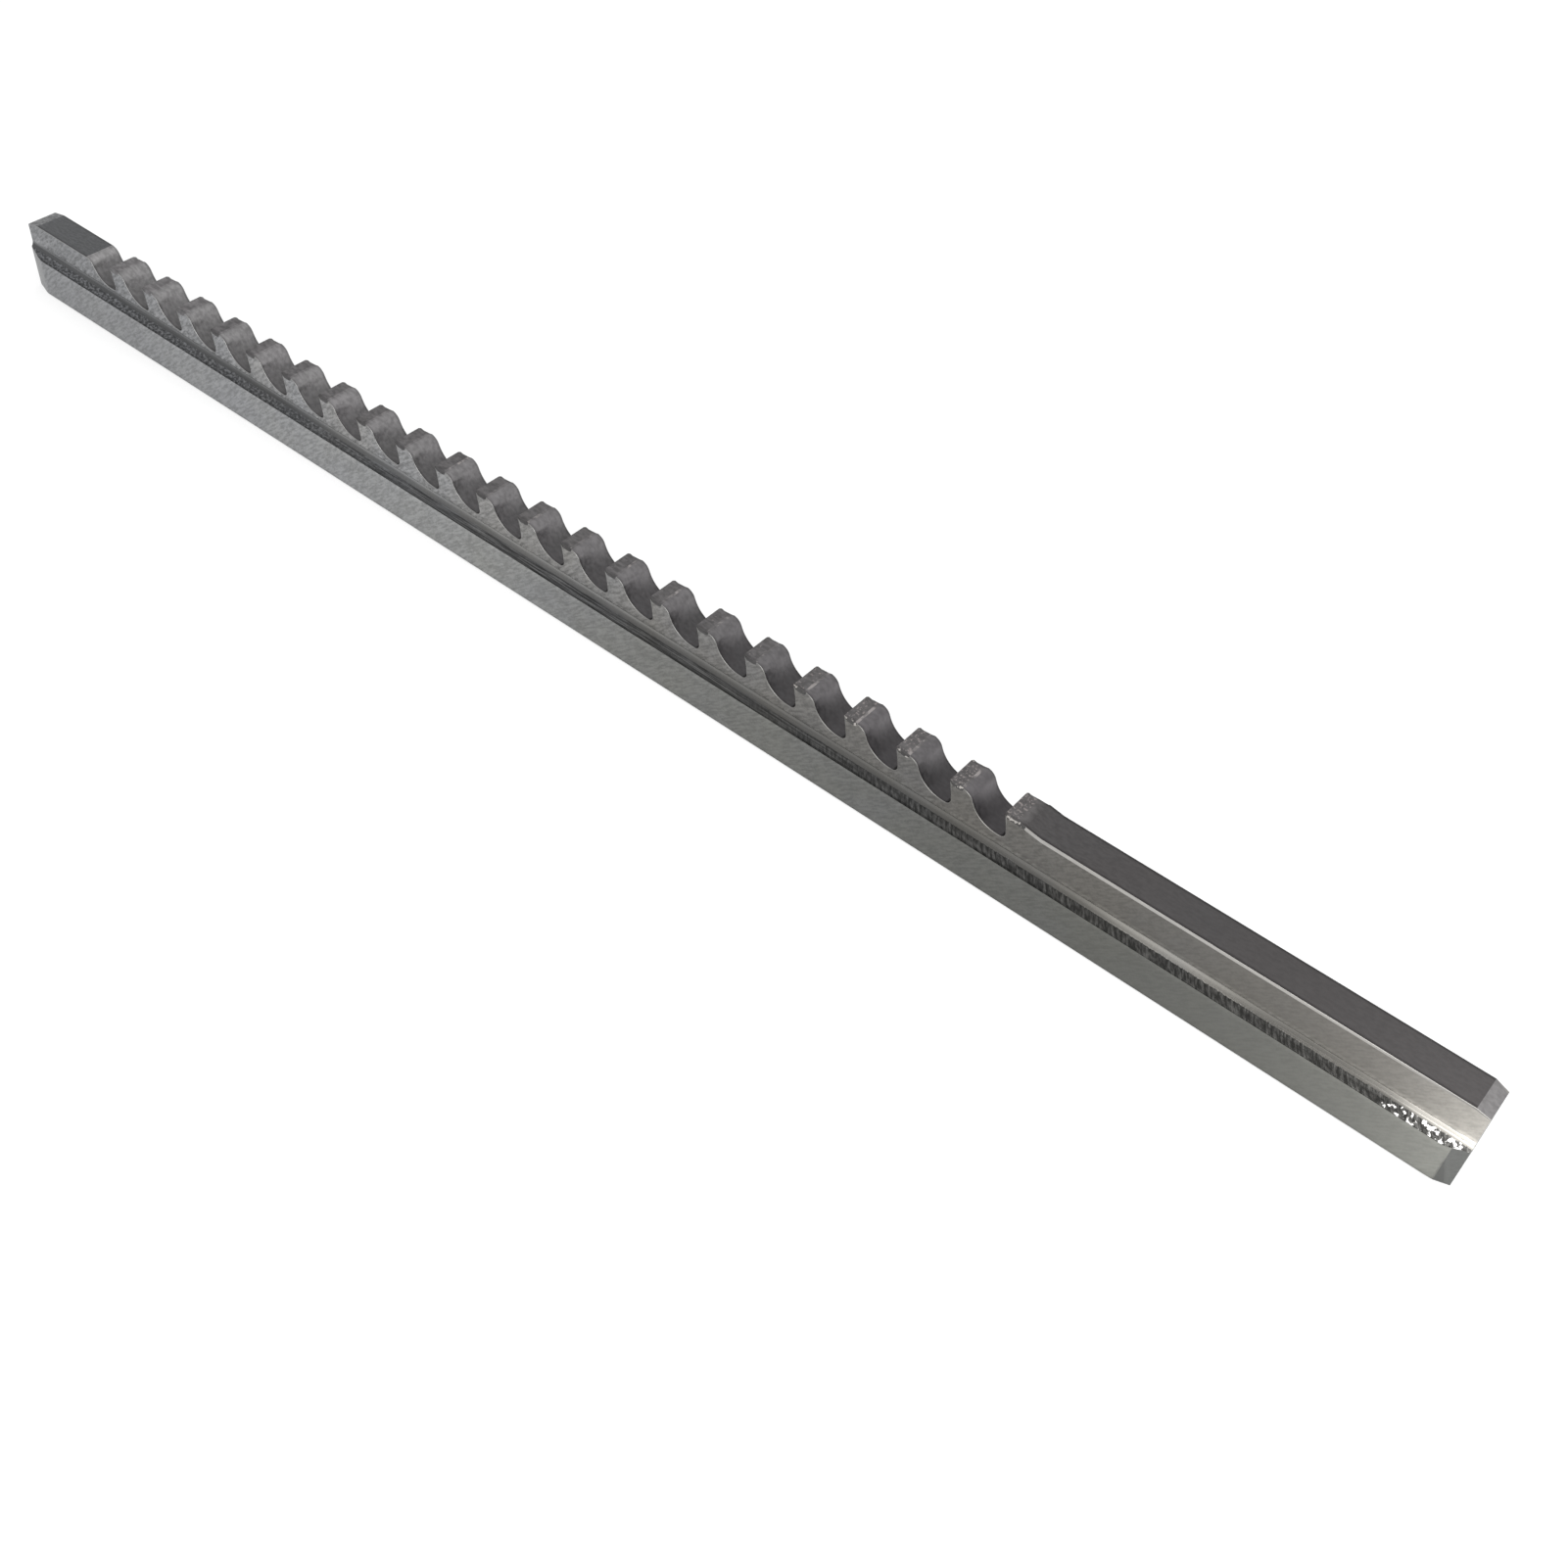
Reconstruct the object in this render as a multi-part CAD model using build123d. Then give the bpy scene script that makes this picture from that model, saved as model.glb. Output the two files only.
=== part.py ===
from build123d import *
from math import radians, tan
import os

# Push-type keyway broach, ground from one bar of high speed steel, in millimetres.
# X runs along the bar from the low pilot end to the high shank end, Y across it, Z up from
# its back. The origin is the centre of the back, the face that slides in the bushing's slot.

# Blank: an inch-standard bar, 11 3/4 in long and 3/8 in wide, for a 6 mm keyway
length = 298.45
body_width = 9.525
tooth_width = 6.0

# Stepped section: a wide guiding body, a sloping shoulder and the narrow toothed rib
shoulder_height = 7.5
shoulder_slope = 20.0
rib_fillet = 1.5
back_chamfer = 0.3
shoulder_edge_break = 0.12

# Heights above the back at each end of the rib
pilot_height = 13.2
shank_height = 14.9

# Teeth: each stands one rise higher than the one in front of it
tooth_count = 22
pitch = 9.525
first_tip_x = 24.8
first_tip_height = 14.0
rise_per_tooth = 0.07
land_length = 3.7
land_relief = 2.0
hook_angle = 12.0

# Gullets: a hooked face, a tight root, a flat floor and a broad sweep up to the land. The
# first one starts from the low pilot, so its sweep is tighter.
gullet_depth = 4.65
gullet_back_angle = 66.0
gullet_sweep_radius = 5.0
first_sweep_radius = 4.4
root_radius = 1.0
heel_radius = 2.0

# Run-out of the last land down to the shank
run_out_length = 2.5

# Lead-in ramps on top of the rib at both ends, length along X and drop
pilot_ramp = (2.9, 0.6)
shank_ramp = (2.1, 0.55)

# Tapers ground on the sides of the body at both ends, length along X and depth
pilot_taper = (4.2, 1.3)
shank_taper = (3.0, 1.0)
taper_blend = 4.0

# Steep break along the top edges of the shank, across the top and down the side
shank_edge_break = (0.12, 0.5)

# Side view, with X measured from the pilot end
side_plane = Plane(origin=(-length / 2, 0, 0), x_dir=(1, 0, 0), z_dir=(0, -1, 0))

# Height of the plain bar that the side outline is cut from, clear of the last tooth
blank_height = 1.5 * shank_height


def stepped_section():
    """The bar's cross-section, drawn from the centre plane out and mirrored."""
    half_body = body_width / 2
    half_rib = tooth_width / 2
    inner_shoulder = shoulder_height + (half_body - half_rib) * tan(radians(shoulder_slope))
    with BuildSketch(Plane.YZ) as section:
        with BuildLine():
            FilletPolyline(
                (0, 0),
                (half_body - back_chamfer, 0),
                (half_body, back_chamfer),
                (half_body, shoulder_height - shoulder_edge_break),
                (half_body - shoulder_edge_break, shoulder_height),
                (half_rib, inner_shoulder),
                (half_rib, blank_height),
                (0, blank_height),
                radius=[0, 0, 0, 0, rib_fillet, 0],
            )
            Line((0, blank_height), (0, 0))
        make_face()
        mirror(about=Plane.YZ)
    return section.sketch


def tip_position(number):
    """Cutting edge of a tooth, counted from 0 at the pilot."""
    return first_tip_x + number * pitch, first_tip_height + number * rise_per_tooth


def gullet_corners(number, heel):
    """Corners and radii from the heel in front of a tooth, down its gullet and up to its tip."""
    tip_x, tip_z = tip_position(number)
    heel_x, heel_z = heel
    floor_z = tip_z - gullet_depth
    back_foot_x = heel_x + (heel_z - floor_z) / tan(radians(gullet_back_angle))
    face_foot_x = tip_x + gullet_depth * tan(radians(hook_angle))
    corners = [heel, (back_foot_x, floor_z), (face_foot_x, floor_z), (tip_x, tip_z)]
    sweep_radius = gullet_sweep_radius if number else first_sweep_radius
    return corners, [heel_radius, sweep_radius, root_radius, 0]


def side_outline():
    """The rib seen from the side: pilot, rising teeth with their gullets, and shank."""
    gullet_mouth = pitch - land_length
    pilot_end = (first_tip_x - gullet_mouth, pilot_height)
    ramp_length, ramp_drop = pilot_ramp
    points = [(0, 0), (0, pilot_height - ramp_drop), (ramp_length, pilot_height)]
    radii = [0, 0]

    heel = pilot_end
    for number in range(tooth_count):
        corners, corner_radii = gullet_corners(number, heel)
        points += corners
        radii += corner_radii
        tip_x, tip_z = corners[-1]
        heel = (tip_x + land_length, tip_z - land_length * tan(radians(land_relief)))

    ramp_length, ramp_drop = shank_ramp
    shank_start = heel[0] + run_out_length
    points += [heel, (shank_start, shank_height), (length - ramp_length, shank_height)]
    points += [(length, shank_height - ramp_drop), (length, 0)]
    radii += [heel_radius, heel_radius, 0, 0]

    with BuildSketch(side_plane) as outline:
        with BuildLine():
            FilletPolyline(*points, radius=radii)
            Line((length, 0), (0, 0))
        make_face()
    return outline.sketch


def plan_outline():
    """The body seen from above, with its sides tapered in at both ends."""
    half_body = body_width / 2
    half_length = length / 2
    pilot_length, pilot_depth = pilot_taper
    shank_length, shank_depth = shank_taper
    near_side = [
        (-half_length, -half_body + pilot_depth),
        (-half_length + pilot_length, -half_body),
        (half_length - shank_length, -half_body),
        (half_length, -half_body + shank_depth),
    ]
    far_side = [(x, -y) for x, y in reversed(near_side)]
    blends = [0, taper_blend, taper_blend, 0] * 2
    with BuildSketch() as outline:
        with BuildLine():
            FilletPolyline(*near_side, *far_side, radius=blends, close=True)
        make_face()
    return outline.sketch


def make_broach():
    """The solid that the section, the side outline and the plan outline share."""
    with BuildPart() as broach:
        extrude(stepped_section(), amount=length / 2, both=True)
        extrude(side_outline(), amount=body_width, both=True, mode=Mode.INTERSECT)
        extrude(plan_outline(), amount=blank_height, mode=Mode.INTERSECT)

        shank_top = broach.faces().filter_by(Axis.Z).sort_by(Axis.Z)[-1]
        break_across, break_down = shank_edge_break
        chamfer(
            shank_top.edges().filter_by(Axis.X),
            length=break_across,
            length2=break_down,
            reference=shank_top,
        )
    return broach.part


keyway_broach = make_broach()
keyway_broach.label = "keyway_broach"

os.makedirs("parts", exist_ok=True)
export_step(keyway_broach, "parts/keyway_broach.step")
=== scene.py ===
import math
from collections import namedtuple
import bmesh
import bpy
import numpy as np
from mathutils import Matrix, Quaternion, Vector


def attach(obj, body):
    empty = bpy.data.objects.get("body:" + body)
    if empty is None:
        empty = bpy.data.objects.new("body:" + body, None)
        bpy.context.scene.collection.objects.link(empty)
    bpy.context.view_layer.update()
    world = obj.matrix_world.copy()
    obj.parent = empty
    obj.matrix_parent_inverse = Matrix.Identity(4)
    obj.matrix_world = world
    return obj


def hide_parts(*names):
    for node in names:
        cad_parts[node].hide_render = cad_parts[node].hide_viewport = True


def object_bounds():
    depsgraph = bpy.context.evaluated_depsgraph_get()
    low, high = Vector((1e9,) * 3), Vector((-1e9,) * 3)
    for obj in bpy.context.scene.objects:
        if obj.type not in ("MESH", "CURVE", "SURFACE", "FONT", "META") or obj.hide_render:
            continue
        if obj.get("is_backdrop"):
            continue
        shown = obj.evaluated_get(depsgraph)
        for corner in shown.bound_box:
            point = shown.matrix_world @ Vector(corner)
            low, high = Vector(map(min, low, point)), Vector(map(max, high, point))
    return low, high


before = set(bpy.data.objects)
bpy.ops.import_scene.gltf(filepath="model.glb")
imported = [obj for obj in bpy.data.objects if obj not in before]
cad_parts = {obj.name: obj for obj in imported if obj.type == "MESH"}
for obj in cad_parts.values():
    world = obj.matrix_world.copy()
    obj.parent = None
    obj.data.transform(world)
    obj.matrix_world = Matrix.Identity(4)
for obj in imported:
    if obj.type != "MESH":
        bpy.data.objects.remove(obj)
cad_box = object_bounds()

# The body is the wide lower part of a bar of high speed steel. It is surface ground on its
# sides and its back to slide in a bushing's slot, so it carries fine wheel marks, and its
# sides are ground in a little at both ends so that it starts easily.
MM = 0.001
bar_length = 298.45
body_half_width = 4.7625
rib_half_width = 3.0
shoulder_height = 7.5
shoulder_slope = math.radians(20)
shoulder_break = 0.12
back_break = 0.3
rib_fillet = 1.5
pilot_taper = (4.2, 1.3)
shank_taper = (3.0, 1.0)
taper_blend = 4.0


def place(tree, kind, inputs=None, **settings):
    """A new node with its settings, and values or other nodes' outputs on its inputs."""
    node = tree.nodes.new(kind)
    for name, value in settings.items():
        setattr(node, name, value)
    for name, value in (inputs or {}).items():
        if isinstance(value, bpy.types.NodeSocket):
            tree.links.new(value, node.inputs[name])
        else:
            node.inputs[name].default_value = value
    return node


def use_group(tree, group, **inputs):
    """The outputs of a node group, with values or other nodes' outputs on its inputs."""
    return place(tree, "ShaderNodeGroup", inputs, node_tree=group).outputs


def calculate(tree, operation, *values):
    """The output of a Math node."""
    return place(tree, "ShaderNodeMath", dict(enumerate(values)), operation=operation).outputs[0]


def between(tree, value, low, high, to_low=0.0, to_high=1.0):
    """A smooth change from to_low to to_high while value goes from low to high."""
    ends = {"Value": value, "From Min": low, "From Max": high, "To Min": to_low, "To Max": to_high}
    return place(tree, "ShaderNodeMapRange", ends, interpolation_type="SMOOTHSTEP").outputs[0]


def mixed(tree, share, first, second):
    """The first colour, turning into the second as share goes from 0 to 1."""
    inputs = {0: share, 6: first, 7: second}
    return place(tree, "ShaderNodeMix", inputs, data_type="RGBA").outputs[2]


def scaled(tree, colour, tone):
    """A colour made lighter or darker by a tone."""
    inputs = {0: colour, "Scale": tone}
    return place(tree, "ShaderNodeVectorMath", inputs, operation="SCALE").outputs[0]


def new_group(name, inputs, outputs):
    """An empty node group with these sockets. Returns it and its input and output sockets."""
    group = bpy.data.node_groups.new(name, "ShaderNodeTree")
    for label, value in inputs.items():
        kind = "NodeSocketColor" if isinstance(value, tuple) else "NodeSocketFloat"
        socket = group.interface.new_socket(label, in_out="INPUT", socket_type=kind)
        socket.default_value = value
    for label in outputs:
        kind = "NodeSocketColor" if label == "Color" else "NodeSocketFloat"
        group.interface.new_socket(label, in_out="OUTPUT", socket_type=kind)
    inside = group.nodes.new("NodeGroupInput").outputs
    return group, inside, group.nodes.new("NodeGroupOutput").inputs


def axis_place(tree, axis):
    """Where a point of the surface lies along one axis of the bar, in metres."""
    where = place(tree, "ShaderNodeTexCoord").outputs["Object"]
    return place(tree, "ShaderNodeSeparateXYZ", {0: where}).outputs[axis]


def share_along(tree):
    """0 at the pilot end of the bar, and 1 at its shank end."""
    return calculate(tree, "MULTIPLY_ADD", axis_place(tree, "X"), 1 / (bar_length * MM), 0.5)


def from_middle(tree):
    """How far a point of the surface lies from the middle plane of the bar."""
    return calculate(tree, "ABSOLUTE", axis_place(tree, "Y"))


def stretched_noise(tree, along, across, turn=0.0, detail=3.0):
    """Noise with this many grains a metre along the bar and across it, turned about Y."""
    where = place(tree, "ShaderNodeTexCoord").outputs["Object"]
    turning = {"Vector": where, "Angle": turn}
    where = place(tree, "ShaderNodeVectorRotate", turning, rotation_type="Y_AXIS").outputs[0]
    grains = place(tree, "ShaderNodeCombineXYZ", {"X": along, "Y": across, "Z": across}).outputs[0]
    inputs = {0: where, 1: grains}
    spot = place(tree, "ShaderNodeVectorMath", inputs, operation="MULTIPLY").outputs[0]
    inputs = {"Vector": spot, "Scale": 1.0, "Detail": detail}
    return place(tree, "ShaderNodeTexNoise", inputs).outputs["Fac"]


# Wheel marks: fine lines in one direction, crossed by a fainter short grain. Nearly all of
# their height lies between marks_low and marks_high.
short_grain_share = 0.5
marks_low = 0.5
marks_high = 1.0
wheel_marks, marks_in, marks_out = new_group(
    "wheel_marks", {"Lines": 3000.0, "Length": 20.0, "Turn": 0.0}, ["Height"]
)
lines_along = calculate(wheel_marks, "DIVIDE", marks_in["Lines"], marks_in["Length"])
long_lines = stretched_noise(wheel_marks, lines_along, marks_in["Lines"], turn=marks_in["Turn"])
short_grain = stretched_noise(
    wheel_marks, marks_in["Lines"], marks_in["Lines"], turn=marks_in["Turn"]
)
both_grains = calculate(wheel_marks, "MULTIPLY_ADD", short_grain, short_grain_share, long_lines)
wheel_marks.links.new(both_grains, marks_out["Height"])

# Steel tint: grey that turns from one colour at the pilot to another at the shank, and wanders
# between them in soft patches
noise_middle = 0.5
steel_tint, tint_in, tint_out = new_group(
    "steel_tint",
    {"Pilot": (1.0, 1.0, 1.0, 1.0), "Shank": (1.0, 1.0, 1.0, 1.0), "Patches": 90.0, "Wander": 0.8},
    ["Color"],
)
patches = stretched_noise(steel_tint, tint_in["Patches"], tint_in["Patches"], detail=4.0)
wander = calculate(steel_tint, "SUBTRACT", patches, noise_middle)
wander = calculate(steel_tint, "MULTIPLY_ADD", wander, tint_in["Wander"], share_along(steel_tint))
tint_share = between(steel_tint, wander, 0.0, 1.0)
tint_colour = mixed(steel_tint, tint_share, tint_in["Pilot"], tint_in["Shank"])
steel_tint.links.new(tint_colour, tint_out["Color"])


def shade_group(name, measure):
    """A group whose tone goes from 1 to Shade while measure goes from From to To, in metres."""
    group, inside, outside = new_group(name, {"From": 0.0, "To": MM, "Shade": 1.0}, ["Tone"])
    tone = between(group, measure(group), inside["From"], inside["To"], 1.0, inside["Shade"])
    group.links.new(tone, outside["Tone"])
    return group


height_shade = shade_group("height_shade", lambda tree: axis_place(tree, "Z"))
edge_shade = shade_group("edge_shade", from_middle)


def tone_along(tree, stops):
    """A tone that follows (place along the bar in mm, tone) stops, from pilot to shank."""
    node = place(tree, "ShaderNodeFloatCurve", {"Value": share_along(tree)})
    points = node.mapping.curves[0].points
    # A new curve has two points, one at each end, so the stops between are added to it
    for along, tone in stops[1:-1]:
        points.new(along / bar_length + 0.5, tone)
    for point, (along, tone) in zip(points, stops):
        point.location = (along / bar_length + 0.5, tone)
        point.handle_type = "AUTO_CLAMPED"
    node.mapping.update()
    return node.outputs[0]


# Marks: how many lines a metre, their length in line widths, their turn, their depth in mm and
# their contrast. They fade towards the shank end, which is the cleanest.
Marks = namedtuple("Marks", "lines length turn depth contrast")
marks_fade = ((-149, 1.0), (-90, 0.95), (40, 0.65), (80, 0.5), (115, 0.28), (149, 0.28))
roughness_spread = 0.05
finishes = {}


# A finish's stops along the bar and its shades are painted light and shade: they set how bright each
# surface shows, such as dark tops, light sides, and sides lighter at the ends than in the middle.
def steel_finish(key, tints, stops, roughness, marks, shades=()):
    """Adds a steel finish. Its tints, at the pilot and the shank, are scaled by its marks, by
    tones along the bar, and by shades, each a group, where it starts and ends in mm, and a tone."""
    material = bpy.data.materials.new(key + "_steel")
    material.use_nodes = True
    tree = material.node_tree
    shader = tree.nodes["Principled BSDF"]
    shader.inputs["Metallic"].default_value = 1.0
    pilot_tint, shank_tint = tints
    tint = use_group(tree, steel_tint, Pilot=(*pilot_tint, 1.0), Shank=(*shank_tint, 1.0))["Color"]
    tone = tone_along(tree, stops)
    for group, low, high, shade in shades:
        shading = use_group(tree, group, From=low * MM, To=high * MM, Shade=shade)
        tone = calculate(tree, "MULTIPLY", tone, shading["Tone"])
    lines = use_group(tree, wheel_marks, Lines=marks.lines, Length=marks.length, Turn=marks.turn)
    height = lines["Height"]
    line_tone = between(tree, height, marks_low, marks_high, -marks.contrast, marks.contrast)
    line_tone = calculate(tree, "MULTIPLY_ADD", line_tone, tone_along(tree, marks_fade), 1.0)
    colour = scaled(tree, tint, calculate(tree, "MULTIPLY", tone, line_tone))
    tree.links.new(colour, shader.inputs["Base Color"])
    smooth, rough = roughness - roughness_spread, roughness + roughness_spread
    spread = between(tree, height, marks_low, marks_high, smooth, rough)
    tree.links.new(spread, shader.inputs["Roughness"])
    bump = place(tree, "ShaderNodeBump", {"Height": height, "Distance": marks.depth * MM})
    tree.links.new(bump.outputs["Normal"], shader.inputs["Normal"])
    finishes[key] = material
    return tree, shader, colour, bump


cross_ground = Marks(lines=2800, length=5, turn=math.radians(40), depth=0.003, contrast=0.3)
# The side's stops paint it lighter at both ends than in the middle. Its shades paint a lighter band
# just under the shoulder edge, painted shade towards the back, and a darker painted shade on the
# back's chamfer.
steel_finish(
    "side",
    tints=((0.985, 1.0, 1.03), (0.995, 1.0, 0.92)),
    stops=(
        (-149, 0.22), (-60, 0.26), (-30, 0.25), (5, 0.185), (40, 0.15),
        (85, 0.122), (110, 0.135), (130, 0.18), (147, 0.28),
    ),
    roughness=0.4,
    marks=cross_ground,
    shades=[
        (height_shade, 6.4, 7.0, 1.1),
        (height_shade, 0.9, 0.35, 0.85),
        (height_shade, 0.3, 0.2, 0.6),
    ],
)
# The taper is the side's steel painted darker: painted shade on its turned faces.
steel_finish(
    "taper",
    tints=((0.98, 1.0, 1.02), (0.98, 1.0, 0.96)),
    stops=((-149, 0.2), (149, 0.165)),
    roughness=0.4,
    marks=cross_ground,
)

# The shoulder and the fillet above it are milled, not ground. The outer strip is dark and torn, and
# the fillet is painted brighter at the shank end: a painted highlight, where the shank lamp also
# shines in it.
torn_strip, torn_in, torn_out = new_group(
    "torn_strip", {"Start": 3.42 * MM, "Ragged": 0.4 * MM, "Rows": 2600.0}, ["Mask", "Height"]
)
strip_across = from_middle(torn_strip)
strip_along = axis_place(torn_strip, "X")


def torn_noise(along, along_share, across_share):
    """Noise over the strip, with these shares of the rows a metre in its two directions."""
    spot = {}
    for axis, place_on, share in (("X", along, along_share), ("Y", strip_across, across_share)):
        grains = calculate(torn_strip, "MULTIPLY", torn_in["Rows"], share)
        spot[axis] = calculate(torn_strip, "MULTIPLY", place_on, grains)
    spot = place(torn_strip, "ShaderNodeCombineXYZ", spot).outputs[0]
    inputs = {"Vector": spot, "Scale": 1.0, "Detail": 3.0, "Roughness": 0.6}
    return place(torn_strip, "ShaderNodeTexNoise", inputs).outputs["Fac"]


# Tears: short beads at the pilot, long lines in the middle and slanted ticks up to the shank.
# The lines and then the ticks take over between two places along the bar, up to a share of
# take_over. The strip's ragged edge is torn_edge mm wide.
tick_slant = -0.8
take_over = 0.85
torn_edge = 0.08
slanted = calculate(torn_strip, "MULTIPLY_ADD", strip_across, tick_slant, strip_along)
tears = torn_noise(strip_along, along_share=0.6, across_share=1.0)
long_tears = torn_noise(strip_along, along_share=0.05, across_share=1.9)
ticks = torn_noise(slanted, along_share=0.75, across_share=0.3)
for next_tears, first, last in ((long_tears, -95, -35), (ticks, 15, 70)):
    share = between(torn_strip, strip_along, first * MM, last * MM, 0.0, take_over)
    tear_inputs = {0: share, 2: tears, 3: next_tears}
    tears = place(torn_strip, "ShaderNodeMix", tear_inputs, data_type="FLOAT").outputs[0]
ragged = calculate(torn_strip, "MULTIPLY_ADD", tears, torn_in["Ragged"], strip_across)
ragged_start = calculate(torn_strip, "MULTIPLY_ADD", torn_in["Ragged"], noise_middle, torn_in["Start"])
ragged_end = calculate(torn_strip, "ADD", ragged_start, torn_edge * MM)
torn_strip.links.new(between(torn_strip, ragged, ragged_start, ragged_end), torn_out["Mask"])
torn_strip.links.new(tears, torn_out["Height"])

# Speckles: they show where noise is above a line, and their edges are more or less soft. As
# their share goes from 0 to 1, the line falls from high_noise to low_noise, and nearly all of the
# noise lies between the two.
high_noise = 0.8
low_noise = 0.2
speckles, specks_in, specks_out = new_group(
    "speckles", {"Share": 0.5, "Grains": 2500.0, "Softness": 0.06}, ["Mask"]
)
speck_noise = stretched_noise(speckles, specks_in["Grains"], specks_in["Grains"], detail=2.0)
speck_line = calculate(
    speckles, "MULTIPLY_ADD", specks_in["Share"], low_noise - high_noise, high_noise
)
speck_end = calculate(speckles, "ADD", speck_line, specks_in["Softness"])
speckles.links.new(between(speckles, speck_noise, speck_line, speck_end), specks_out["Mask"])


def speckled(tree, ground, colour, stops, grains, softness):
    """A ground colour with speckles of another colour, whose share follows stops."""
    share = tone_along(tree, stops)
    specks = use_group(tree, speckles, Share=share, Grains=grains, Softness=softness)
    return mixed(tree, specks["Mask"], ground, (*colour, 1.0))


# The fillet's stops paint a highlight near 104 mm and a brighter one at the shank end, and its shades
# paint its outer part darker.
tree, shader, fillet_colour, fillet_bump = steel_finish(
    "shoulder",
    tints=((0.985, 1.0, 1.03), (1.04, 1.0, 0.92)),
    stops=(
        (-149, 0.112), (-85, 0.112), (-50, 0.162), (-20, 0.175), (10, 0.15), (60, 0.137),
        (88, 0.175), (104, 0.335), (125, 0.165), (135, 0.237), (141, 0.57), (147, 0.85),
    ),
    roughness=0.22,
    marks=Marks(lines=2500, length=30, turn=0, depth=0.003, contrast=0.14),
    shades=[(edge_shade, 3.0, 3.15, 0.8), (edge_shade, 3.15, 3.4, 0.85)],
)

# Painted light and shade on the fillet: its outer part is painted darker at the shank end, and its top
# is painted as light as the rib's side over the first half of the bar and, more narrowly, at the shank
# end.
outer_painted_shade = between(tree, from_middle(tree), 3.1 * MM, 3.35 * MM, to_low=0.0, to_high=-0.65)
top_painted_light = between(tree, from_middle(tree), 3.0 * MM, 3.12 * MM, to_low=0.35, to_high=0.0)
hair_painted_light = between(tree, from_middle(tree), 3.0 * MM, 3.04 * MM, to_low=0.35, to_high=0.0)
fillet_painted_light = 1.0
for change, first, last in ((outer_painted_shade, 126, 140), (top_painted_light, 50, -10), (hair_painted_light, 112, 124)):
    share = between(tree, axis_place(tree, "X"), first * MM, last * MM)
    fillet_painted_light = calculate(tree, "MULTIPLY_ADD", share, change, fillet_painted_light)
fillet_colour = scaled(tree, fillet_colour, fillet_painted_light)

# The torn strip's tears are lighter where they stand up, its outer edge is a darker line up to the
# shank, and bright specks are painted in it at the shank end as glints of the light there.
torn = use_group(tree, torn_strip)
torn_depth = 0.05
torn_tone = tone_along(tree, (
    (-149, 0.085), (-60, 0.08), (0, 0.052), (85, 0.035), (95, 0.035), (138, 0.034), (145, 0.05),
))
tear_tone = between(tree, torn["Height"], 0.4, 0.7, to_low=0.6, to_high=2.2)
line_shade = between(tree, axis_place(tree, "X"), 85 * MM, 94 * MM, to_low=0.6, to_high=1.0)
outer_line = use_group(tree, edge_shade, From=4.35 * MM, To=4.6 * MM, Shade=line_shade)["Tone"]
for shading in (tear_tone, outer_line):
    torn_tone = calculate(tree, "MULTIPLY", torn_tone, shading)
torn_tint = use_group(tree, steel_tint, Pilot=(0.98, 1.0, 1.05, 1.0), Shank=(1.02, 1.0, 0.95, 1.0))
torn_colour = scaled(tree, torn_tint["Color"], torn_tone)
torn_colour = speckled(
    tree, torn_colour, colour=(0.85, 0.84, 0.82),
    stops=((-149, 0.0), (131, 0.0), (136, 0.2), (141, 0.48), (149, 0.55)),
    grains=1500.0, softness=0.12,
)
shoulder_colour = mixed(tree, torn["Mask"], fillet_colour, torn_colour)
tree.links.new(shoulder_colour, shader.inputs["Base Color"])
torn_bump = place(tree, "ShaderNodeBump", {
    "Height": calculate(tree, "MULTIPLY", torn["Height"], torn["Mask"]),
    "Distance": torn_depth * MM,
    "Normal": fillet_bump.outputs["Normal"],
})
tree.links.new(torn_bump.outputs["Normal"], shader.inputs["Normal"])


def rounded(corners, step=math.radians(7)):
    """The line through corners (u, v, radius, name), with each radius turned into an arc.

    Every point keeps the name of the stretch that starts there; an arc has its corner's."""
    points = [(*corners[0][:2], corners[0][3])]
    for before, corner, after in zip(corners, corners[1:], corners[2:]):
        here, radius, name = Vector(corner[:2]), corner[2], corner[3]
        if not radius:
            points.append((*here, name))
            continue
        back = (Vector(before[:2]) - here).normalized()
        forth = (Vector(after[:2]) - here).normalized()
        opening = back.angle(forth)
        centre = here + (back + forth).normalized() * radius / math.sin(opening / 2)
        tangent = radius / math.tan(opening / 2)
        first, last = here + back * tangent - centre, here + forth * tangent - centre
        sweep = -first.angle_signed(last)
        count = math.ceil(abs(sweep) / step)
        for number in range(count + 1):
            spoke = Matrix.Rotation(sweep * number / count, 2) @ first
            points.append((*(centre + spoke), name))
    points.append((*corners[-1][:2], corners[-1][3]))
    return points


# Half of the section, from the top of the fillet down. The rib's side above only sets the
# fillet's direction.
inner_shoulder = shoulder_height + (body_half_width - rib_half_width) * math.tan(shoulder_slope)
shoulder_line = rounded([
    (rib_half_width, 2 * inner_shoulder, 0, ""),
    (rib_half_width, inner_shoulder, rib_fillet, "shoulder"),
    (body_half_width - shoulder_break, shoulder_height, 0, "shoulder"),
    (body_half_width, shoulder_height - shoulder_break, 0, "side"),
])[1:]
back_line = [(body_half_width, back_break, "side"), (body_half_width - back_break, 0.0, "side")]

# Half of the plan, from the pilot to the shank. The first part of the shank's taper takes the side's
# lighter finish.
side_finish_share = 0.3
side_finish_end = bar_length - shank_taper[0] * (1 - side_finish_share)
side_finish_half_width = body_half_width - shank_taper[1] * side_finish_share
half_widths = rounded([
    (0, body_half_width - pilot_taper[1], 0, "taper"),
    (pilot_taper[0], body_half_width, taper_blend, "side"),
    (bar_length - shank_taper[0], body_half_width, taper_blend, "side"),
    (side_finish_end, side_finish_half_width, 0, "taper"),
    (bar_length, body_half_width - shank_taper[1], 0, ""),
])


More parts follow.
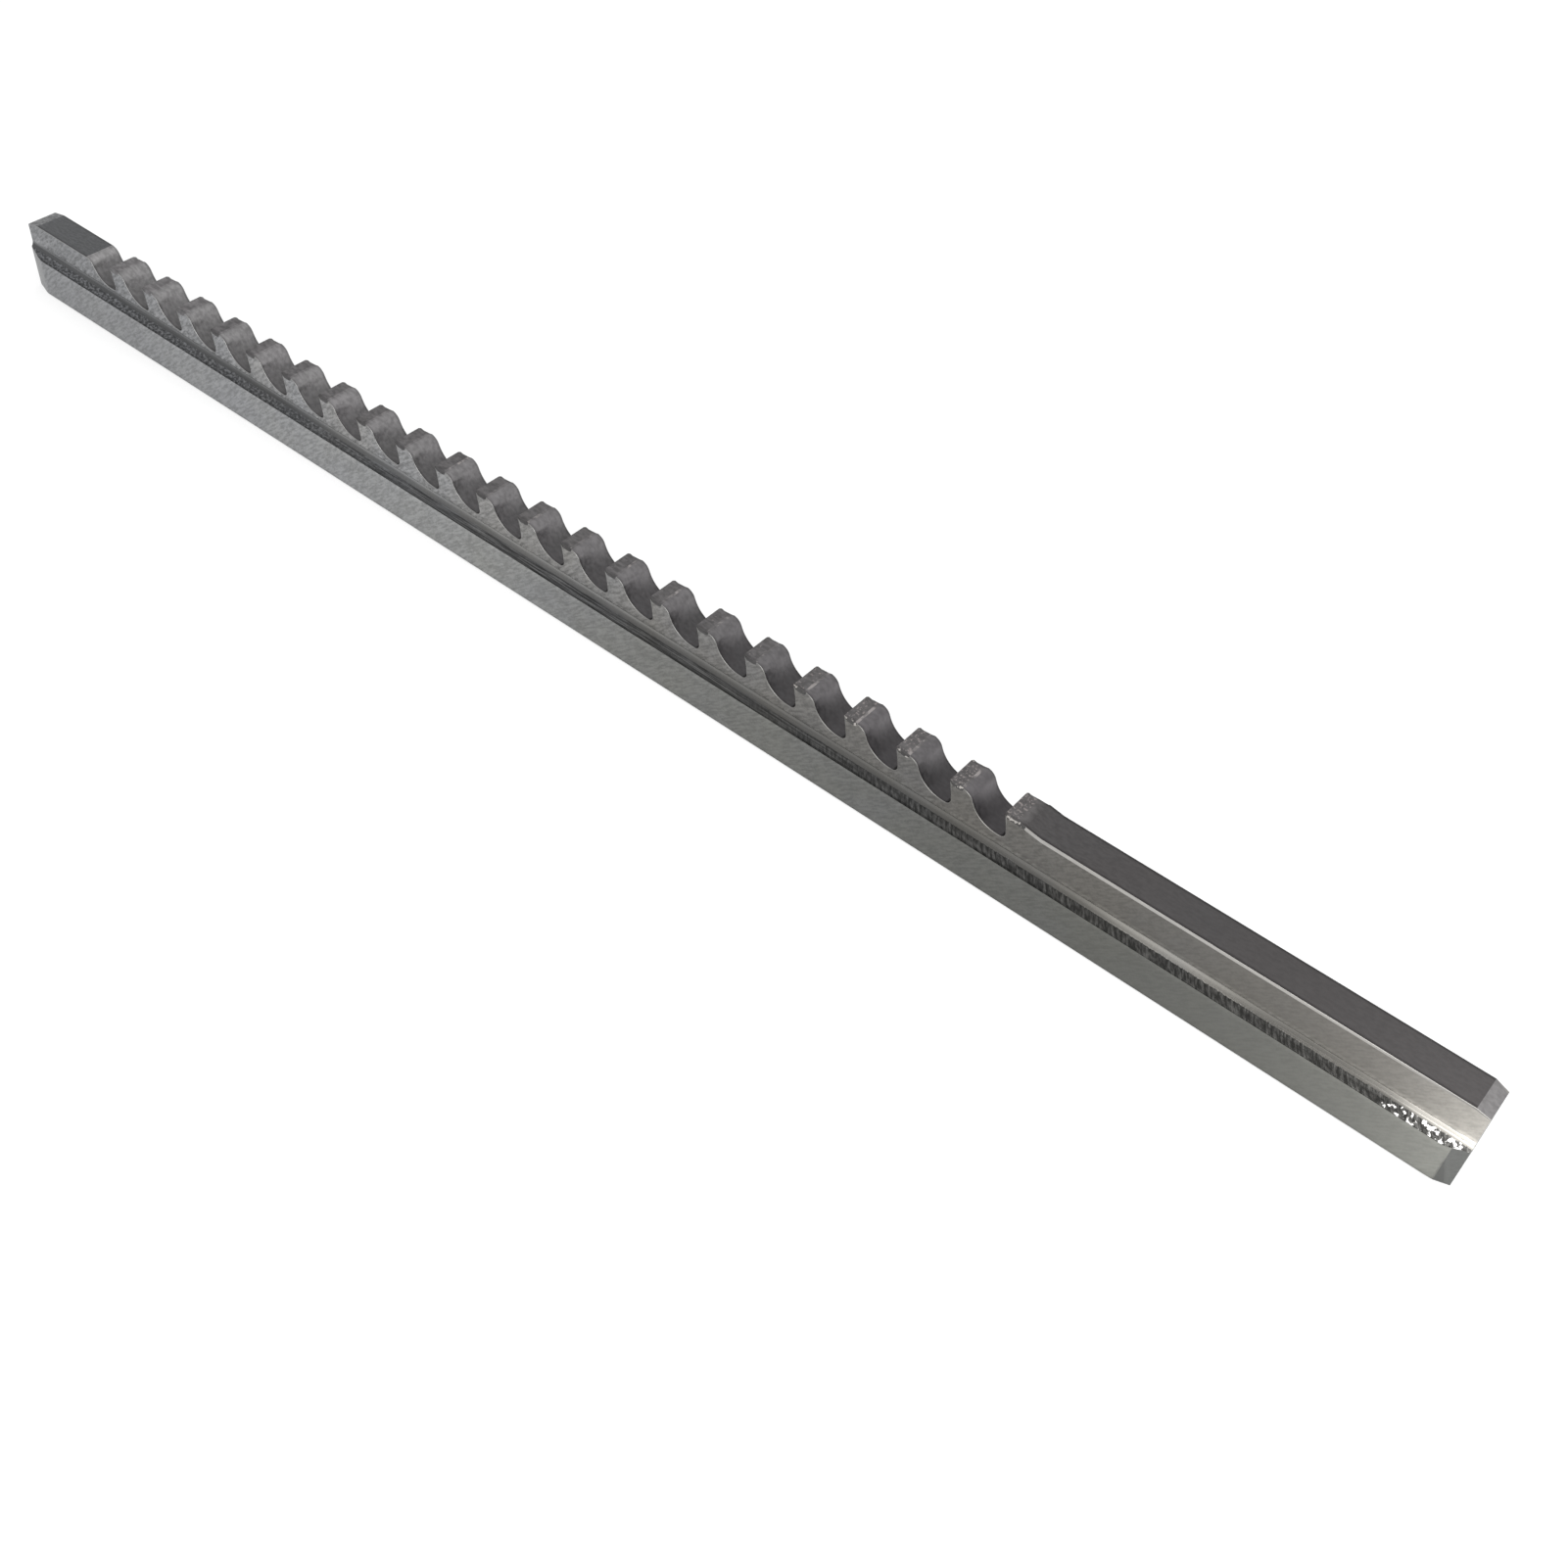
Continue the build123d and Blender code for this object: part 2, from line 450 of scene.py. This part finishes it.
def height_on(line, across):
    """Height of a line of (across, height, name) points at one place across the bar."""
    line = sorted(line)
    return float(np.interp(across, [point[0] for point in line], [point[1] for point in line]))


def add_face(mesh, corners, finish):
    """A face in one of the finishes."""
    mesh.faces.new(corners).material_index = list(finishes).index(finish)


# Each ring of corners goes down the near side, across the back and up the far side
steel = bmesh.new()
rings = []
for along, half_width, _ in half_widths:
    near, far = [], []
    for line in (shoulder_line, back_line):
        for point in line:
            across = min(point[0], half_width)
            near.append(steel.verts.new((along, -across, height_on(line, across))))
            far.append(steel.verts.new((along, across, height_on(line, across))))
    rings.append(near + far[::-1])

side_names = [name for _, _, name in shoulder_line + back_line]
ring_names = side_names + side_names[-2::-1]
for number, (ring, next_ring) in enumerate(zip(rings, rings[1:])):
    tapered = half_widths[number][2] == "taper"
    for name, *corners in zip(ring_names, ring, ring[1:], next_ring[1:], next_ring):
        add_face(steel, corners, "taper" if tapered and name == "side" else name)

# The rib carries the teeth. Its sides are ground, and its top is ground too: low on the
# pilot, where the tool hangs in the bore before it cuts, and high on the shank.
pilot_height = 13.2
shank_height = 14.9
pilot_ramp = (2.9, 0.6)
shank_ramp = (2.1, 0.55)
# The rib side's stops are painted light: lighter over the first half and brightest at the shank end,
# and its shade paints it lighter low down.
tree, shader, rib_colour, _ = steel_finish(
    "rib",
    tints=((0.985, 1.0, 1.03), (1.045, 1.0, 0.92)),
    stops=(
        (-149, 0.2), (-120, 0.24), (-50, 0.265), (-10, 0.225), (30, 0.17), (85, 0.13),
        (115, 0.145), (130, 0.18), (137, 0.23), (147, 0.42),
    ),
    roughness=0.4,
    marks=Marks(lines=2400, length=4, turn=math.radians(40), depth=0.003, contrast=0.42),
    shades=[(height_shade, 12.0, 9.6, 1.16)],
)

# The foot of the rib's sides is painted lighter towards the shank: painted light over the dark that it
# mirrors from the shoulder
foot_painted_light = between(tree, axis_place(tree, "X"), 30 * MM, 85 * MM, to_low=1.08, to_high=1.5)
foot_painted_tone = use_group(tree, height_shade, From=10.0 * MM, To=9.4 * MM, Shade=foot_painted_light)["Tone"]
tree.links.new(scaled(tree, rib_colour, foot_painted_tone), shader.inputs["Base Color"])

# The top is painted dark and the ramps lighter: painted shade and light on the same ground steel, with
# darker painted lines along the top's edges.
steel_finish(
    "top",
    tints=((0.98, 1.0, 1.04), (1.06, 1.0, 1.0)),
    stops=((-149, 0.09), (80, 0.077), (120, 0.08), (149, 0.105)),
    roughness=0.45,
    marks=Marks(lines=2500, length=3, turn=0, depth=0.003, contrast=0.24),
    shades=[(edge_shade, 2.35, 2.85, 0.55)],
)
steel_finish(
    "ramp",
    tints=((0.99, 1.0, 1.02), (1.03, 1.0, 1.0)),
    stops=((-149, 0.17), (149, 0.24)),
    roughness=0.45,
    marks=Marks(lines=2000, length=2, turn=0, depth=0.003, contrast=0.5),
)

# The teeth are ground one by one out of the rib, each with a hooked face and a gullet that
# sweeps up to the next land. The lands are short flats, relieved behind their cutting edge.
tooth_count = 22
pitch = 9.525
first_tip_x = 24.8
first_tip_height = 14.0
rise_per_tooth = 0.07
land_length = 3.7
land_relief = math.radians(2)
tip_length = 0.8
heel_start = 2.0
hook_angle = math.radians(12)
gullet_depth = 4.65
gullet_back_angle = math.radians(66)
gullet_sweep_radius = 5.0
first_sweep_radius = 4.4
root_radius = 1.0
heel_radius = 2.0
run_out_length = 2.5


def below_tips(tree):
    """How far a point of the surface lies under the line through the cutting edges."""
    rise = rise_per_tooth / pitch
    middle_tip = first_tip_height + (bar_length / 2 - first_tip_x) * rise
    tip_line = calculate(tree, "MULTIPLY_ADD", axis_place(tree, "X"), rise, middle_tip * MM)
    return calculate(tree, "SUBTRACT", tip_line, axis_place(tree, "Z"))


def speckled_finish(key, specks, **finish):
    """Adds a steel finish with speckles in it. Specks holds their colour, stops and so on."""
    tree, shader, ground, _ = steel_finish(key, **finish)
    tree.links.new(speckled(tree, ground, **specks), shader.inputs["Base Color"])


depth_shade = shade_group("depth_shade", below_tips)
# The gullets are painted darker deeper under the tips, a painted shade in the hollow, and a little
# darker near their top and along their sides.
steel_finish(
    "gullet",
    tints=((1.0, 0.98, 0.985), (1.04, 0.98, 1.02)),
    stops=((-149, 0.25), (-60, 0.225), (0, 0.18), (40, 0.155), (80, 0.15)),
    roughness=0.4,
    marks=Marks(lines=1600, length=2, turn=0, depth=0.002, contrast=0.2),
    shades=[
        (depth_shade, 1.3, 0.4, 0.84),
        (depth_shade, 1.0, 4.2, 0.4),
        (edge_shade, 2.4, 2.9, 0.68),
    ],
)

# The lands are chipped towards the shank, and their heels have light streaks
land_tints = ((1.01, 0.97, 0.99), (1.04, 0.99, 0.99))
land_sides = (edge_shade, 2.2, 2.8, 0.68)
speckled_finish(
    "land",
    tints=land_tints,
    stops=((-149, 0.165), (-110, 0.155), (-96, 0.125), (-60, 0.115), (0, 0.11), (80, 0.11)),
    roughness=0.42,
    marks=Marks(lines=1600, length=2, turn=0, depth=0.004, contrast=0.32),
    shades=[land_sides],
    specks={
        "colour": (0.26, 0.235, 0.23),
        "stops": ((-149, 0.0), (-20, 0.15), (20, 0.28), (55, 0.45), (85, 0.5)),
        "grains": 2400.0,
        "softness": 0.16,
    },
)
speckled_finish(
    "heel",
    tints=land_tints,
    stops=((-149, 0.2), (-60, 0.16), (0, 0.13), (76.5, 0.13), (79, 0.08)),
    roughness=0.42,
    marks=Marks(lines=1600, length=2, turn=0, depth=0.004, contrast=0.3),
    shades=[land_sides],
    specks={
        "colour": (0.3, 0.28, 0.275),
        "stops": ((-149, 0.0), (-60, 0.3), (-5, 0.5), (40, 0.6), (73, 0.6), (77.5, 0.1)),
        "grains": 700.0,
        "softness": 0.2,
    },
)

profile = [
    (0, pilot_height - pilot_ramp[1], 0, "ramp"),
    (pilot_ramp[0], pilot_height, 0, "pilot"),
    (first_tip_x - pitch + land_length, pilot_height, heel_radius, "gullet"),
]
for number in range(tooth_count):
    tip_x = first_tip_x + number * pitch
    tip_height = first_tip_height + number * rise_per_tooth
    floor = tip_height - gullet_depth
    heel_x, heel_height = profile[-1][:2]
    back_foot = heel_x + (heel_height - floor) / math.tan(gullet_back_angle)
    face_foot = tip_x + gullet_depth * math.tan(hook_angle)
    sweep_radius = gullet_sweep_radius if number else first_sweep_radius
    profile += [(back_foot, floor, sweep_radius, "gullet"), (face_foot, floor, root_radius, "gullet")]
    for behind, radius, name in (
        (0, 0, "tip"), (tip_length, 0, "land"), (heel_start, 0, "heel"),
        (land_length, heel_radius, "gullet"),
    ):
        relief = behind * math.tan(land_relief)
        profile.append((tip_x + behind, tip_height - relief, radius, name))
last_heel = profile.pop()
profile += [
    (*last_heel[:3], "shank"),
    (last_heel[0] + run_out_length, shank_height, heel_radius, "shank"),
    (bar_length - shank_ramp[0], shank_height, 0, "ramp"),
    (bar_length, shank_height - shank_ramp[1], 0, "end"),
]
rib_line = rounded(profile)

# The rib's edges are broken by hand with a stone: a steep one along the shank, painted bright as a
# highlight line, a fine one round the gullets, and a rounded one where the lands show wear, painted
# dark as a shade.
steel_finish(
    "edge",
    tints=((1.0, 1.0, 1.0), (1.03, 1.0, 0.95)),
    stops=((-149, 0.26), (0, 0.21), (60, 0.17), (76, 0.2), (80, 0.37), (130, 0.39), (147, 0.3)),
    roughness=0.35,
    marks=Marks(lines=2500, length=3, turn=0, depth=0.002, contrast=0.14),
)
# The rounded land edges are painted dark, a painted shade on the rounding, with light chips in it.
speckled_finish(
    "worn_and_shaded",
    tints=((1.01, 0.98, 1.0), (1.03, 1.0, 0.98)),
    stops=((-149, 0.165), (-108, 0.155), (-96, 0.095), (80, 0.075)),
    roughness=0.4,
    marks=Marks(lines=1600, length=2, turn=0, depth=0.004, contrast=0.2),
    specks={
        "colour": (0.4, 0.38, 0.36),
        "stops": ((-149, 0.0), (20, 0.1), (50, 0.4), (85, 0.4)),
        "grains": 1500.0,
        "softness": 0.06,
    },
)

# For each stretch: its flat finish, its edge's finish, and how far the edge is broken across the
# bar and down. The tips and the shank's end are rounder on the far side. Where two stretches
# meet, the break is halfway between theirs.
stretches = {
    "ramp": ("ramp", "edge", (0.1, 0.1)),
    "pilot": ("top", "edge", (0.08, 0.08)),
    "gullet": ("gullet", "edge", (0.12, 0.12)),
    "tip": ("land", "worn_and_shaded", (0.3, 0.6)),
    "land": ("land", "worn_and_shaded", (0.3, 0.6)),
    "heel": ("heel", "worn_and_shaded", (0.3, 0.6)),
    "shank": ("top", "edge", (0.06, 0.62)),
    "end": ("ramp", "edge", (0.1, 0.1)),
}
near_breaks = {name: size for name, (_, _, size) in stretches.items()}
far_breaks = {**near_breaks, "tip": (1.0, 0.8), "end": (1.5, 1.2)}


def inward(line):
    """For each point of a line along the bar, the way to a line one unit under it."""
    spots = [Vector(point[:2]) for point in line]
    downs = []
    for spot, following in zip(spots, spots[1:]):
        along, up = (following - spot).normalized()
        downs.append(Vector((up, -along)))
    ways = [Vector((0, 1 / downs[0].y))]
    for before, after in zip(downs, downs[1:]):
        ways.append((before + after) / (1 + before.dot(after)))
    return ways + [Vector((0, 1 / downs[-1].y))]


# Rows of corners along the rib's near and far edges, from its top round the break to its side
break_turns = [math.radians(turn) for turn in (0, 45, 90)]
broken_rows = []
for turn in break_turns:
    near, far = [], []
    previous = rib_line[0][2]
    for (along, height, name), way in zip(rib_line, inward(rib_line)):
        for row, side, sizes in ((near, -1, near_breaks), (far, 1, far_breaks)):
            pairs = zip(sizes[previous], sizes[name])
            across_break, down_break = (sum(pair) / 2 for pair in pairs)
            spot = Vector((along, height)) + way * down_break * (1 - math.cos(turn))
            across = rib_half_width - across_break * (1 - math.sin(turn))
            row.append(steel.verts.new((spot.x, side * across, spot.y)))
        previous = name
    broken_rows.append((near, far))

for number, (_, _, name) in enumerate(rib_line[:-1]):
    flat, edge, _ = stretches[name]
    near, far = broken_rows[0]
    add_face(steel, (near[number], near[number + 1], far[number + 1], far[number]), flat)
    for row, lower_row in zip(broken_rows, broken_rows[1:]):
        for side, lower in zip(row, lower_row):
            add_face(steel, (side[number], side[number + 1], lower[number + 1], lower[number]), edge)
near, far = broken_rows[-1]
add_face(steel, near + [ring[0] for ring in rings[::-1]], "rib")
add_face(steel, far + [ring[-1] for ring in rings[::-1]], "rib")
for end in (0, -1):
    near_edge = [near[end] for near, _ in broken_rows]
    far_edge = [far[end] for _, far in broken_rows]
    add_face(steel, near_edge + rings[end] + far_edge[::-1], "taper")

# One skin: the corners that meet are welded, the rounded edges are shaded smooth, and the flats
# stay flat between them.
weld_gap = 0.002
sharp_angle = math.radians(50)
bmesh.ops.remove_doubles(steel, verts=steel.verts, dist=weld_gap)
bmesh.ops.recalc_face_normals(steel, faces=steel.faces)
bmesh.ops.translate(steel, verts=steel.verts, vec=(-bar_length / 2, 0, 0))
bmesh.ops.scale(steel, verts=steel.verts, vec=(MM, MM, MM))
broach_mesh = bpy.data.meshes.new("keyway_broach_steel")
steel.to_mesh(broach_mesh)
steel.free()
broach_mesh.shade_smooth()
broach_mesh.set_sharp_from_angle(angle=sharp_angle)
for material in finishes.values():
    broach_mesh.materials.append(material)
broach = bpy.data.objects.new("keyway_broach_steel", broach_mesh)
bpy.context.scene.collection.objects.link(broach)
flat_shading = broach.modifiers.new("flat_faces", "WEIGHTED_NORMAL")
flat_shading.keep_sharp = True
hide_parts("keyway_broach")
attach(broach, "root")

# Stage: a pale table top under the tool. It shows nearly white to the camera and in the
# steel's reflections, and keeps the soft shadow that the bar lays on it.
table_size = 6
paper_grey = (0.93, 0.93, 0.93, 1)
paper_glow_share = 0.6
white = (1, 1, 1, 1)


def seen_rays(tree):
    """1 for rays from the camera, from a reflection or through glass, and 0 for the others."""
    rays = place(tree, "ShaderNodeLightPath").outputs
    seen = calculate(tree, "MAXIMUM", rays["Is Camera Ray"], rays["Is Glossy Ray"])
    return calculate(tree, "MAXIMUM", seen, rays["Is Transmission Ray"])


bpy.ops.mesh.primitive_plane_add(size=table_size)
table_top = bpy.context.object
table_top.name = "table_top"
paper = bpy.data.materials.new("white_paper")
paper.use_nodes = True
paper_tree = paper.node_tree
paper_diffuse = paper_tree.nodes["Principled BSDF"]
paper_diffuse.inputs["Base Color"].default_value = paper_grey
paper_diffuse.inputs["Roughness"].default_value = 0.9
paper_diffuse.inputs["Specular IOR Level"].default_value = 0.0
paper_glow = place(paper_tree, "ShaderNodeEmission", {"Color": white, "Strength": 1.0})
paper_share = calculate(paper_tree, "MULTIPLY", seen_rays(paper_tree), paper_glow_share)
paper_inputs = {0: paper_share, 1: paper_diffuse.outputs[0], 2: paper_glow.outputs[0]}
paper_mix = place(paper_tree, "ShaderNodeMixShader", paper_inputs)
paper_tree.links.new(paper_mix.outputs[0], paper_tree.nodes["Material Output"].inputs["Surface"])
table_top.data.materials.append(paper)
table_top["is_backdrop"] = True

# Studio: an even pale room, a large soft box above, and a tilted one in front of the shank
# end, which shows in its fillet and shoulder.
room_brightness = 0.95
room = bpy.data.worlds.new("pale_room")
room.use_nodes = True
bpy.context.scene.world = room
room_tree = room.node_tree
room_light = room_tree.nodes["Background"]
room_light.inputs["Color"].default_value = white
room_strength = between(room_tree, seen_rays(room_tree), 0.0, 1.0, room_brightness, 1.0)
room_tree.links.new(room_strength, room_light.inputs["Strength"])


def soft_box(name, location, aim, size, power):
    """A rectangular lamp that shines from location towards aim."""
    lamp = bpy.data.lights.new(name, "AREA")
    lamp.shape = "RECTANGLE"
    lamp.size, lamp.size_y = size
    lamp.energy = power
    holder = bpy.data.objects.new(name, lamp)
    holder.location = location
    holder.rotation_euler = (Vector(aim) - Vector(location)).to_track_quat("-Z", "Y").to_euler()
    bpy.context.scene.collection.objects.link(holder)


soft_box("overhead_box", location=(0, -0.2, 1.5), aim=(0, -0.2, 0), size=(2.0, 2.0), power=6.0)
soft_box(
    "shank_box", location=(0.285, -0.27, 0.27), aim=(0.285, 0, 0), size=(0.34, 0.6), power=2.0
)

# Camera: above and beside the shank end, looking down along the bar to the pilot.
camera = bpy.data.cameras.new("camera")
camera.lens = 42.08
camera.sensor_width = 36
view_from = Vector((0.15113, -0.16303, 0.20159))
view_at = Vector((0.04481, -0.01309, 0.007))
view_roll = math.radians(5.6)
camera_holder = bpy.data.objects.new("camera", camera)
camera_holder.location = view_from
aim = (view_at - view_from).to_track_quat("-Z", "Y")
camera_holder.rotation_euler = (aim @ Quaternion((0, 0, 1), view_roll)).to_euler()
bpy.context.scene.collection.objects.link(camera_holder)
bpy.context.scene.camera = camera_holder
bpy.context.scene.view_settings.view_transform = "Standard"

boxes = {"cad": cad_box, "visual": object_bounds()}
corners = {name: [list(corner) for corner in box] for name, box in boxes.items()}
